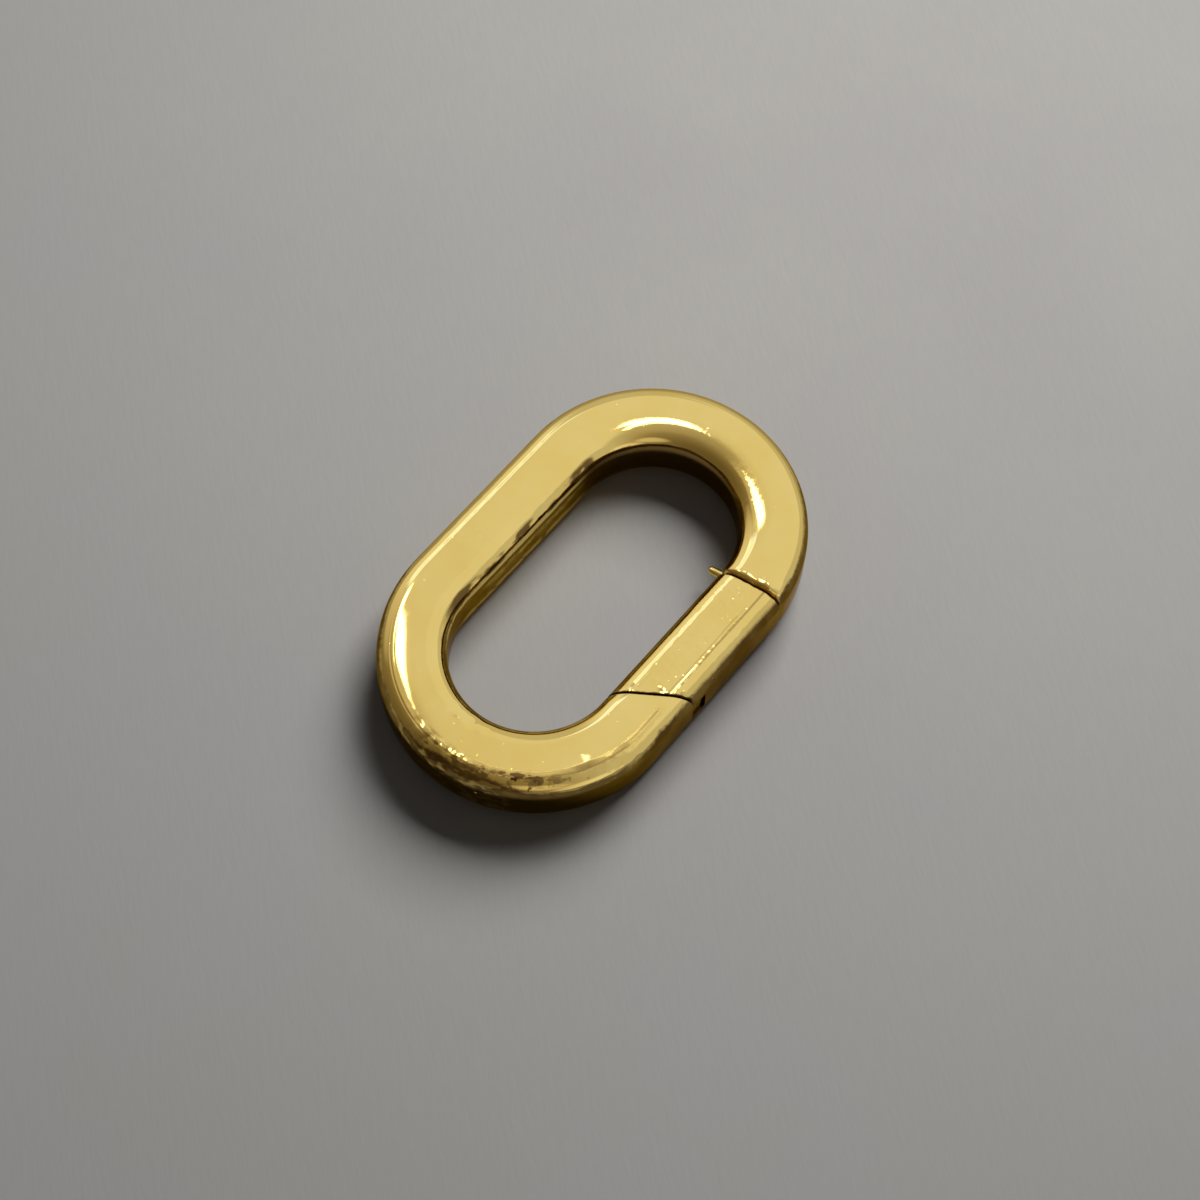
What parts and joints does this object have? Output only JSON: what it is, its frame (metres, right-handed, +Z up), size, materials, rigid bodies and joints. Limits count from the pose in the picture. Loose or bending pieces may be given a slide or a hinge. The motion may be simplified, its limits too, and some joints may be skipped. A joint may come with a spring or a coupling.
{
  "type": "push-button clasp",
  "caption": "Oval jewellery clasp of square, round-edged bar: a hinged gate in one side swings outwards once the small button inside the loop is pressed.",
  "frame": {"origin": "centre of the underside, on the surface that the clasp lies on", "axes": "+X along the loop from the hinge end to the free end of the gate, +Y across the loop away from the gate, +Z up"},
  "size_m": [0.0205, 0.013, 0.0029],
  "materials": {
    "polished_gold": "polished yellow gold plating on brass",
    "pin_brass": "brass pin, polished flush"
  },
  "bodies": {
    "ring": {"ring": "polished_gold"},
    "gate": {"gate": "polished_gold", "hinge_pin": "pin_brass"},
    "button": {"push_button": "polished_gold"}
  },
  "joints": [
    {"name": "gate_swing", "type": "hinge", "parent": "ring", "child": "gate", "pos_m": [-0.00102, -0.0058, 0.00145], "axis": [0, 0, -1], "range_deg": [0, 50]},
    {"name": "button_press", "type": "slide", "parent": "ring", "child": "button", "axis": [0.1483, -0.9889, 0], "range_m": [0, 0.00035], "stiffness_N_per_m": 400, "springref_m": -0.0003}
  ]
}
